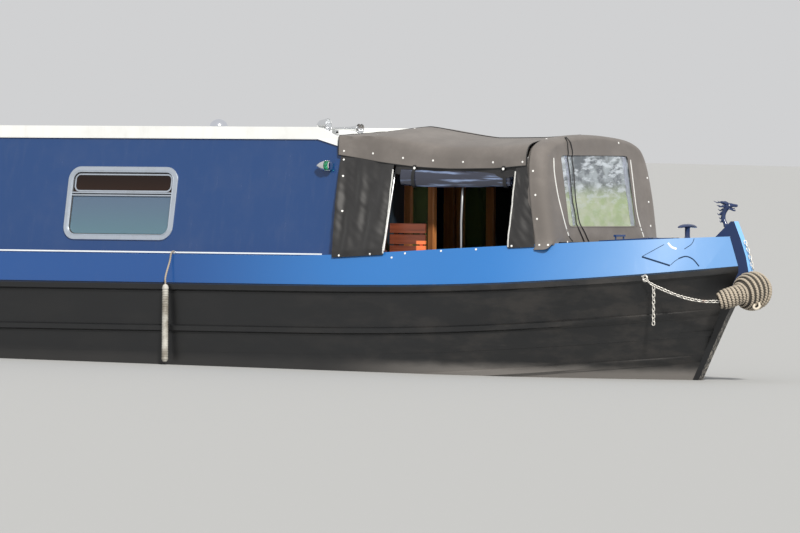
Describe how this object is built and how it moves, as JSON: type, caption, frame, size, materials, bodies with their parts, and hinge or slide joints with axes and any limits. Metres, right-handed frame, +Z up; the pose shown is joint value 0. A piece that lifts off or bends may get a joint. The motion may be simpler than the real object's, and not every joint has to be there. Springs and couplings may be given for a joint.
{
  "type": "narrowboat with a fabric canopy over its front well",
  "caption": "Steel canal narrowboat with a low cabin, a canvas canopy over the front well, side windows, rope fenders and a tiller at the stern.",
  "frame": {"origin": "on the underside of the base plate, under the middle of the boat's length and on its centreline", "axes": "+X to the bow, +Y to port, +Z up"},
  "size_m": [15.686, 2.252, 2.501],
  "materials": {
    "hull_black": "satin bitumen and black paint, scuffed",
    "topside_blue": "gloss coach paint with fine scratches",
    "cabin_blue": "gloss coach paint",
    "deck_paint": "matt non slip paint",
    "seat_timber": "varnished hardwood slats",
    "door_timber": "varnished mahogany",
    "roof_white": "white gloss paint, weathered",
    "window_frame": "anodised",
    "chrome": "polished",
    "canvas": "coated canvas, taut",
    "clear_film": "rolled clear film and canvas",
    "frame_tube": "brushed tube",
    "rope": "worked rope, weathered",
    "chain_steel": "galvanised, touched with rust",
    "fender_rubber": "ribbed, dusty",
    "engine_paint": "painted",
    "brass": "polished",
    "bronze": "dull cast bronze"
  },
  "bodies": {
    "boat": {"hull_base": "hull_black", "hull_side_starboard": "hull_black", "hull_side_port": "hull_black", "hull_bow": "hull_black", "hull_stern": "hull_black", "topside_band_starboard": "topside_blue", "topside_band_port": "topside_blue", "stem": "topside_blue", "figurehead": "topside_blue", "foredeck": "deck_paint", "t_stud": "cabin_blue", "well_seat": "seat_timber", "cabin_side_starboard": "cabin_blue", "cabin_side_port": "cabin_blue", "roof": "roof_white", "front_bulkhead": "cabin_blue", "rear_bulkhead": "cabin_blue", "window_1_starboard": "window_frame", "window_1_port": "window_frame", "window_2_starboard": "window_frame", "window_2_port": "window_frame", "window_3_starboard": "window_frame", "window_3_port": "window_frame", "window_4_starboard": "window_frame", "window_4_port": "window_frame", "mushroom_vent_1": "chrome", "mushroom_vent_2": "chrome", "mushroom_vent_3": "chrome", "tunnel_lamp": "chrome", "twin_horn": "chrome", "side_lamp_starboard": "chrome", "side_lamp_port": "chrome", "canopy_roof": "canvas", "canopy_front": "canvas", "canopy_aft_flap": "canvas", "canopy_fore_flap": "canvas", "canopy_rolled_window": "clear_film", "canopy_port_side": "canvas", "canopy_frame": "frame_tube", "bow_fender": "rope", "fender_chain_top": "chain_steel", "fender_chain_starboard": "chain_steel", "fender_chain_port": "chain_steel", "side_fender_starboard": "fender_rubber", "side_fender_port": "fender_rubber", "stern_deck": "deck_paint", "engine_block": "engine_paint", "stern_rail": "roof_white", "control_column": "cabin_blue", "stern_fender": "rope"},
    "rudder_and_tiller": {"rudder": "hull_black", "tiller": "brass"},
    "propeller": {"propeller": "bronze"},
    "front_door_starboard": {"front_door_starboard": "door_timber"},
    "front_door_port": {"front_door_port": "door_timber"},
    "rear_door_starboard": {"rear_door_starboard": "cabin_blue"},
    "rear_door_port": {"rear_door_port": "cabin_blue"},
    "rear_hatch": {"rear_hatch": "cabin_blue"},
    "gas_locker_lid": {"gas_locker_lid": "deck_paint"},
    "engine_hatch_lid": {"engine_hatch_lid": "deck_paint"}
  },
  "joints": [
    {"name": "rudder_turn", "type": "hinge", "parent": "boat", "child": "rudder_and_tiller", "pos_m": [-7.23, 0, 1], "axis": [0, 0, 1], "range_deg": [-35, 35]},
    {"name": "propeller_spin", "type": "hinge", "parent": "boat", "child": "propeller", "pos_m": [-6.925, 0, 0.33], "axis": [1, 0, 0], "continuous": true},
    {"name": "front_door_starboard_hinge", "type": "hinge", "parent": "boat", "child": "front_door_starboard", "pos_m": [4.672, -0.364, 1.5], "axis": [0, 0, 1], "range_deg": [0, 108]},
    {"name": "front_door_port_hinge", "type": "hinge", "parent": "boat", "child": "front_door_port", "pos_m": [4.672, 0.364, 1.5], "axis": [0, 0, 1], "range_deg": [-92, 16]},
    {"name": "rear_door_starboard_hinge", "type": "hinge", "parent": "boat", "child": "rear_door_starboard", "pos_m": [-5.812, -0.334, 1.8], "axis": [0, 0, 1], "range_deg": [0, 110]},
    {"name": "rear_door_port_hinge", "type": "hinge", "parent": "boat", "child": "rear_door_port", "pos_m": [-5.812, 0.334, 1.8], "axis": [0, 0, 1], "range_deg": [-110, 0]},
    {"name": "rear_hatch_slide", "type": "slide", "parent": "boat", "child": "rear_hatch", "axis": [1, 0, 0], "range_m": [0, 0.68]},
    {"name": "gas_locker_lid_hinge", "type": "hinge", "parent": "boat", "child": "gas_locker_lid", "pos_m": [6.862, 0, 1.5546], "axis": [0, 1, 0], "range_deg": [0, 100]},
    {"name": "engine_hatch_lid_hinge", "type": "hinge", "parent": "boat", "child": "engine_hatch_lid", "pos_m": [-6.216, 0, 1.214], "axis": [0, 1, 0], "range_deg": [0, 90]}
  ]
}
